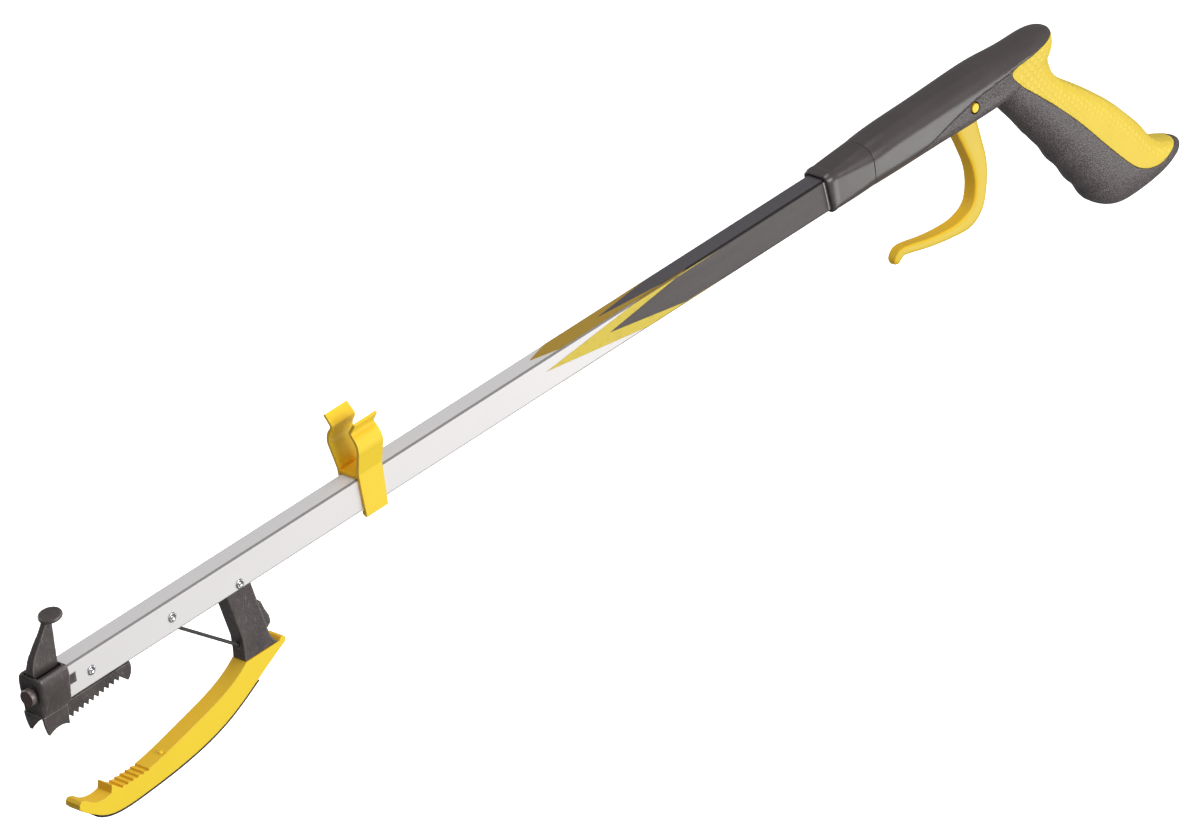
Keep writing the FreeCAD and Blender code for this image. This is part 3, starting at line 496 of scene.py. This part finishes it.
NODE_FINISH = {
    "shaft_tube": "aluminium",
    "label_flash": "yellow_film",
    "label_field": "dark_film",
    "nose_cap": "black",
    "dressing_peg": "black",
    "nose_insert": "black",
    "upper_jaw": "black",
    "nose_magnet": "magnet",
    "nose_rivet": "steel",
    "roller_rivet": "steel",
    "jaw_rivet": "steel",
    "cord_roller": "nylon",
    "jaw_bush": "steel",
    "jaw_spring": "spring",
    "jaw_arm": "black",
    "jaw_finger": "yellow",
    "jaw_back_strip": "rubber",
    "cord_front": "cord",
    "cord_front_crimp": "steel",
    "cord_run": "cord",
    "cord_tail": "cord",
    "cord_rear_crimp": "steel",
    "stick_clip": "yellow",
    "front_collar": "satin",
    "barrel_cover": "satin",
    "grip_shell_near": "pebbled",
    "grip_shell_far": "pebbled",
    "grip_pad": "pad",
    "handle_screws": "steel",
    "tube_pin": "steel",
    "trigger": "yellow",
    "trigger_cord_pin": "steel",
    "trigger_pin": "yellow",
}


def finish_cad_nodes(materials):
    for name, finish in NODE_FINISH.items():
        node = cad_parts[name]
        node.data.materials.clear()
        node.data.materials.append(materials[finish])


# ---------------------------------------------------------------- shape helpers

CUTTER_HALF = 30
TURN_POINTS = 40


def eased(a, b, c, d, t):
    """A number on its way from b to c, with a and d as the ones before and after."""
    bend = (2 * a - 5 * b + 4 * c - d) * t ** 2
    twist = (3 * b - a - 3 * c + d) * t ** 3
    return 0.5 * (2 * b + (c - a) * t + bend + twist)


def flow(rows, steps):
    """Rows of numbers, evened out into a smooth run that passes through every row."""
    made = []
    last = len(rows) - 1
    for number in range(last):
        around = (rows[max(number - 1, 0)], rows[number], rows[number + 1], rows[min(number + 2, last)])
        for step in range(steps):
            made.append(tuple(eased(*column, step / steps) for column in zip(*around)))
    return made + [tuple(rows[-1])]


def new_object(name, bm, smooth_shading=True):
    bmesh.ops.recalc_face_normals(bm, faces=bm.faces)
    for face in bm.faces:
        face.smooth = smooth_shading
    mesh = bpy.data.meshes.new(name)
    bm.to_mesh(mesh)
    bm.free()
    made = bpy.data.objects.new(name, mesh)
    bpy.context.scene.collection.objects.link(made)
    return made


def bridge(bm, rows):
    """Faces between closed rows that have the same number of points."""
    count = len(rows[0])
    for low, high in zip(rows, rows[1:]):
        for number in range(count):
            following = (number + 1) % count
            bm.faces.new((low[number], low[following], high[following], high[number]))


def skin(name, rings):
    """Closed surface through rings that have the same number of points."""
    bm = bmesh.new()
    rows = [[bm.verts.new(place) for place in ring] for ring in rings]
    bridge(bm, rows)
    bm.faces.new(rows[0])
    bm.faces.new(rows[-1])
    return new_object(name, bm)


def prism(name, outline, low_y=-CUTTER_HALF, high_y=CUTTER_HALF):
    """Plate between two depths whose outline is a list of (x, z) places."""
    bm = bmesh.new()
    near = [bm.verts.new(at(x, z, low_y)) for x, z in outline]
    far = [bm.verts.new(at(x, z, high_y)) for x, z in outline]
    bm.faces.new(near)
    bm.faces.new(far)
    bridge(bm, (near, far))
    return new_object(name, bm, False)


def shifted(line, distance):
    """A run of (x, z) places moved sideways by an even distance."""
    made = []
    for number, (x, z) in enumerate(line):
        x0, z0 = line[max(number - 1, 0)]
        x1, z1 = line[min(number + 1, len(line) - 1)]
        length = math.hypot(x1 - x0, z1 - z0)
        made.append((x - (z1 - z0) / length * distance, z + (x1 - x0) / length * distance))
    return made


def even_turns(count):
    return [2 * math.pi * number / count for number in range(count)]


def circle(centre, radius):
    x, z = centre
    return [(x + radius * math.cos(turn), z + radius * math.sin(turn)) for turn in even_turns(TURN_POINTS)]


def applied(piece):
    """Fixes a piece's modifiers into its mesh."""
    shape = piece.evaluated_get(bpy.context.evaluated_depsgraph_get())
    mesh = bpy.data.meshes.new_from_object(shape)
    piece.modifiers.clear()
    piece.data = mesh
    return piece


def remeshed(piece, grid):
    """The same piece as one even skin of small faces."""
    remesh = piece.modifiers.new("remesh", "REMESH")
    remesh.mode, remesh.voxel_size, remesh.use_smooth_shade = "VOXEL", grid, True
    return applied(piece)


def ease(piece, passes, group=""):
    """Adds a smoothing of edges and creases."""
    smooth = piece.modifiers.new("ease", "SMOOTH")
    smooth.factor, smooth.iterations, smooth.vertex_group = 0.5, passes, group


def carved(source, name, *cuts):
    """A copy of source after boolean cuts, each given as (operation, cutter)."""
    piece = bpy.data.objects.new(name, source.data.copy())
    bpy.context.scene.collection.objects.link(piece)
    for operation, cutter in cuts:
        modifier = piece.modifiers.new("cut", "BOOLEAN")
        modifier.operation, modifier.object, modifier.solver = operation, cutter, "MANIFOLD"
    return applied(piece)


def removed(*pieces):
    for piece in pieces:
        bpy.data.objects.remove(piece)


def finished(piece, material, body, *nodes, slot=None):
    piece.data.materials.clear()
    piece.data.materials.append(material)
    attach(piece, body)
    if nodes:
        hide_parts(*nodes)
    return piece


# ---------------------------------------------------------------- handle

HANDLE_GRID = 0.0007
SEAM = 0.12
BARREL_START = 642.0
PAD_EDGE = [
    (790.0, 13.0), (769.0, 8.6), (758.5, 4.5), (765.1, -5.5), (777.4, -17.7), (792.9, -33.5),
    (808.1, -50.7), (828.3, -75.6), (845.9, -94.9), (861.8, -102.1), (876.0, -101.0), (900.0, -92.0),
]
BARREL_SPLIT = [
    (640.0, -20.0), (660.0, -14.0), (684.0, -4.5), (725.0, 4.8), (760.0, 7.2), (790.0, 11.0), (812.0, 14.0),
]
GRIP_TOP = (748.0, -5.0)
GRIP_RUN = (0.5607, -0.828)
FINGER_BUMPS = [77.0, 101.0]
FINGER_BUMP_WIDTH = 6.5
FINGER_BUMP_HEIGHT = 1.3
FINGER_BUMPS_FROM = 50
FINGER_BUMPS_MEAN = 0.35
HANDLE_PASSES = 9
HEEL_PASSES = 90
HEEL_TOP = -106.0
COLLAR_RIM = 611.5
COLLAR_RIM_HEIGHT = 0.45
COLLAR_RIM_HALF = 3
CREASE_START, CREASE_END = 690, 775
CREASE_FADE_IN, CREASE_FADE_OUT = 50, 12
CREASE_HEIGHT, CREASE_DEPTH = 12, 1.7
CREASE_SIDE = 0.006
PIN_PLACE = (725.0, 0.5)
PIN_ROOM = 3.5


def distance_below(line, x, z):
    """How far a place lies under a run of places, in mm; endless outside its ends."""
    for (x0, z0), (x1, z1) in zip(line, line[1:]):
        if x0 <= x <= x1:
            return z0 + (z1 - z0) * (x - x0) / (x1 - x0) - z
    return math.inf


def sculpt_handle(body):
    """Raises the finger bumps and draws the shells in under the barrel's lower edge."""
    split = flow(BARREL_SPLIT, 8)
    front = Vector((GRIP_RUN[1], 0, -GRIP_RUN[0]))
    normals = [vertex.normal.copy() for vertex in body.data.vertices]
    for vertex, outward in zip(body.data.vertices, normals):
        facing = max(outward.dot(front), 0.0)
        x, z = vertex.co.x * 1000 + GRIP_CENTRE_X, vertex.co.z * 1000 + GRIP_CENTRE_Z
        along = (x - GRIP_TOP[0]) * GRIP_RUN[0] + (z - GRIP_TOP[1]) * GRIP_RUN[1]
        if facing > 0.05 and along > FINGER_BUMPS_FROM:
            wave = sum(math.exp(-((along - bump) / FINGER_BUMP_WIDTH) ** 2) for bump in FINGER_BUMPS)
            vertex.co += front * (wave - FINGER_BUMPS_MEAN) * FINGER_BUMP_HEIGHT * facing ** 0.6 / 1000
        if abs(x - COLLAR_RIM) < COLLAR_RIM_HALF:
            swell = COLLAR_RIM_HEIGHT * math.cos((x - COLLAR_RIM) / COLLAR_RIM_HALF * math.pi / 2) / 1000
            vertex.co += Vector((0, outward.y, outward.z)) * swell
        under = distance_below(split, x, z)
        if 0 < under < CREASE_HEIGHT and CREASE_START < x < CREASE_END and abs(vertex.co.y) > CREASE_SIDE:
            reach = min((x - CREASE_START) / CREASE_FADE_IN, (CREASE_END - x) / CREASE_FADE_OUT, 1.0)
            depth = CREASE_DEPTH * reach * (1 - under / CREASE_HEIGHT) ** 1.5
            vertex.co.y -= math.copysign(depth / 1000, vertex.co.y)


def handle_body():
    """One skin over the collar, barrel, shells and pad, with its creases eased."""
    bm = bmesh.new()
    for name in ("front_collar", "barrel_cover", "grip_shell_near", "grip_shell_far", "grip_pad"):
        bm.from_mesh(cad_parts[name].data)
    bmesh.ops.remove_doubles(bm, verts=bm.verts, dist=1e-6)
    body = new_object("handle_body", bm)
    remeshed(body, HANDLE_GRID)
    sculpt_handle(body)
    heel = body.vertex_groups.new(name="heel")
    low = [vertex.index for vertex in body.data.vertices if vertex.co.z * 1000 + GRIP_CENTRE_Z < HEEL_TOP]
    heel.add(low, 1.0, "REPLACE")
    ease(body, HANDLE_PASSES)
    ease(body, HEEL_PASSES, "heel")
    return applied(body)


def make_handle(materials):
    body = handle_body()
    edge, split = flow(PAD_EDGE, 8), flow(BARREL_SPLIT, 8)
    behind = [(930.0, -92.0), (930.0, 40.0), (790.0, 40.0)]
    above = [(812.0, 40.0), (560.0, 40.0), (560.0, -20.0)]
    pad_room = prism("pad_room", shifted(edge, SEAM) + behind)
    pad_clear = prism("pad_clear", shifted(edge, -SEAM) + behind)
    barrel_room = prism("barrel_room", shifted(split, SEAM) + above)
    barrel_clear = prism("barrel_clear", shifted(split, -2 * SEAM) + above)
    whole = [(590.0, -140.0), (930.0, -140.0), (930.0, 40.0), (590.0, 40.0)]
    front_room = [(590.0, -20.0), (BARREL_START - SEAM, -20.0), (BARREL_START - SEAM, 30.0), (590.0, 30.0)]
    front_clear = [(x + 2 * SEAM if x > 600 else x, z) for x, z in front_room]
    collar_room = prism("collar_room", front_room)
    collar_clear = prism("collar_clear", front_clear)
    near_half = prism("near_half", whole, high_y=-SEAM / 2)
    far_half = prism("far_half", whole, low_y=SEAM / 2)
    pin_room = prism("pin_room", circle(PIN_PLACE, PIN_ROOM))
    collar = carved(body, "collar_sleeve", ("INTERSECT", collar_room))
    barrel = carved(body, "barrel", ("DIFFERENCE", collar_clear), ("INTERSECT", barrel_room),
                    ("DIFFERENCE", pin_room))
    pad = carved(body, "palm_pad", ("INTERSECT", pad_room), ("DIFFERENCE", barrel_clear))
    shells = [carved(body, name, ("DIFFERENCE", collar_clear), ("DIFFERENCE", barrel_clear),
                     ("DIFFERENCE", pad_clear), ("INTERSECT", half), ("DIFFERENCE", pin_room))
              for name, half in (("grip_near", near_half), ("grip_far", far_half))]
    finished(collar, materials["satin"], "frame", "front_collar", slot="satin_black")
    finished(barrel, materials["satin"], "frame", "barrel_cover", slot="satin_black")
    finished(pad, materials["pad"], "frame", "grip_pad", slot="yellow_rubber")
    finished(shells[0], materials["pebbled"], "frame", "grip_shell_near", slot="grained_black")
    finished(shells[1], materials["pebbled"], "frame", "grip_shell_far", slot="grained_black")
    removed(body, pad_room, pad_clear, barrel_room, barrel_clear, collar_room, collar_clear,
            near_half, far_half, pin_room)


# ---------------------------------------------------------------- trigger

TRIGGER_ROWS = [  # front x, front z, back x, back z, half width
    (713.0, 3.0, 733.0, 3.0, 5.0),
    (714.0, -10.0, 734.2, -10.0, 5.0),
    (720.0, -26.0, 736.8, -26.0, 5.0),
    (724.6, -40.0, 738.6, -41.0, 5.0),
    (725.0, -52.0, 736.0, -56.4, 5.0),
    (721.0, -61.5, 730.2, -68.8, 5.0),
    (711.0, -65.8, 719.8, -74.9, 4.9),
    (698.0, -66.0, 704.5, -74.2, 4.7),
    (684.0, -64.2, 687.0, -71.4, 4.4),
    (670.0, -61.2, 671.5, -67.8, 4.0),
    (663.0, -61.0, 666.2, -66.8, 3.6),
    (659.2, -63.2, 663.6, -68.2, 3.3),
    (657.6, -66.2, 661.8, -69.8, 2.8),
    (658.0, -68.8, 660.0, -70.0, 1.3),
]
TRIGGER_HOLLOW = 0.22
TRIGGER_SQUARENESS = 0.55
TRIGGER_RING_POINTS = 48


def trigger_ring(front_x, front_z, back_x, back_z, half):
    """Rounded section whose front face is hollowed between two soft ridges."""
    centre = at((front_x + back_x) / 2, (front_z + back_z) / 2)
    across = at(front_x, front_z) - centre
    ring = []
    for turn in even_turns(TRIGGER_RING_POINTS):
        toward = math.copysign(abs(math.cos(turn)) ** TRIGGER_SQUARENESS, math.cos(turn))
        side = math.copysign(abs(math.sin(turn)) ** TRIGGER_SQUARENESS, math.sin(turn))
        if toward > 0:
            toward *= 1 - TRIGGER_HOLLOW * (1 - side ** 2)
        ring.append(centre + across * toward + Vector((0, side * half / 1000, 0)))
    return ring


def make_trigger(materials):
    trigger = skin("finger_trigger", [trigger_ring(*row) for row in flow(TRIGGER_ROWS, 8)])
    finished(trigger, materials["shaded_trigger_yellow"], "trigger", "trigger", slot="yellow_moulding")


# ---------------------------------------------------------------- nose, arm and rivets

SOFT_GRID = 0.00035
CAP_FACE = -6.5
CAP_SCOOP = 1.5
CAP_SCOOP_HALF = 6.2
RIVETS = {"nose_rivet": (29.5, -1.0), "roller_rivet": (90.5, -0.5), "jaw_rivet": (141.0, -6.0)}
RIVET_PROFILE = [  # radius, distance from the middle
    (0.0, 6.85), (0.5, 6.82), (0.9, 6.5), (1.2, 6.45), (1.5, 6.9), (1.9, 7.04), (2.4, 7.0),
    (2.8, 6.75), (2.9, 6.4), (2.9, 6.27), (2.0, 6.27),
]


def softened(node, name, passes, sculpt=None):
    """A copy of a CAD node with the eased edges of a moulding."""
    piece = carved(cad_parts[node], name)
    bm = bmesh.new()
    bm.from_mesh(piece.data)
    bmesh.ops.remove_doubles(bm, verts=bm.verts, dist=1e-6)
    bm.to_mesh(piece.data)
    bm.free()
    remeshed(piece, SOFT_GRID)
    if sculpt:
        sculpt(piece)
    ease(piece, passes)
    return applied(piece)


def scoop_cap(piece):
    """Hollows the cap's front face between its two side walls."""
    normals = [vertex.normal.copy() for vertex in piece.data.vertices]
    for vertex, outward in zip(piece.data.vertices, normals):
        x, y = vertex.co.x * 1000 + GRIP_CENTRE_X, vertex.co.y * 1000
        if x < CAP_FACE and outward.x < -0.3:
            vertex.co.x += CAP_SCOOP * max(1 - (y / CAP_SCOOP_HALF) ** 2, 0) ** 0.7 / 1000


def turned(name, places):
    """A round piece on an axle across the tube, from places (radius, y) on its outline."""
    bm = bmesh.new()
    rings = [[bm.verts.new((radius * math.cos(turn), y, radius * math.sin(turn)))
              for turn in even_turns(TURN_POINTS)] for radius, y in places]
    bridge(bm, rings)
    bmesh.ops.remove_doubles(bm, verts=bm.verts, dist=1e-5)
    return new_object(name, bm)


def make_mouldings(materials):
    cap = softened("nose_cap", "front_cap", 5, scoop_cap)
    finished(cap, materials["black"], "frame", "nose_cap", slot="black_moulding")
    for node, name, passes in (("upper_jaw", "fixed_jaw", 3), ("dressing_peg", "dressing_hook", 4)):
        finished(softened(node, name, passes), materials["black"], "frame", node, slot="black_moulding")
    arm = softened("jaw_arm", "swinging_arm", 4)
    finished(arm, materials["black"], "jaw", "jaw_arm", slot="black_moulding")


def make_rivets(materials):
    for node, (x, z) in RIVETS.items():
        near = [(radius, -y) for radius, y in RIVET_PROFILE]
        rivet = turned("pressed_" + node, RIVET_PROFILE + near[::-1])
        rivet.data.transform(Matrix.Translation(at(x, z)) @ Matrix.Scale(0.001, 4))
        finished(rivet, materials["steel"], "frame", node, slot="rivet_steel")


# ---------------------------------------------------------------- cord and spring


def bending_copy(node, name, material):
    """A copy of a CAD node that reaches from the frame to a moving body."""
    piece = carved(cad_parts[node], name)
    piece.data.materials.clear()
    piece.data.materials.append(material)
    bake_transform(piece)
    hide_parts(node)


def make_cord_and_spring(materials):
    bending_copy("cord_front", "pull_cord_front",
                 materials["cord"])
    bending_copy("cord_tail", "pull_cord_loop",
                 materials["cord"])
    bending_copy("jaw_spring", "torsion_spring",
                 materials["spring"])


make_camera()
make_floor()
make_light()
materials = make_materials()
finish_cad_nodes(materials)
make_handle(materials)
make_trigger(materials)
make_mouldings(materials)
make_rivets(materials)
make_cord_and_spring(materials)
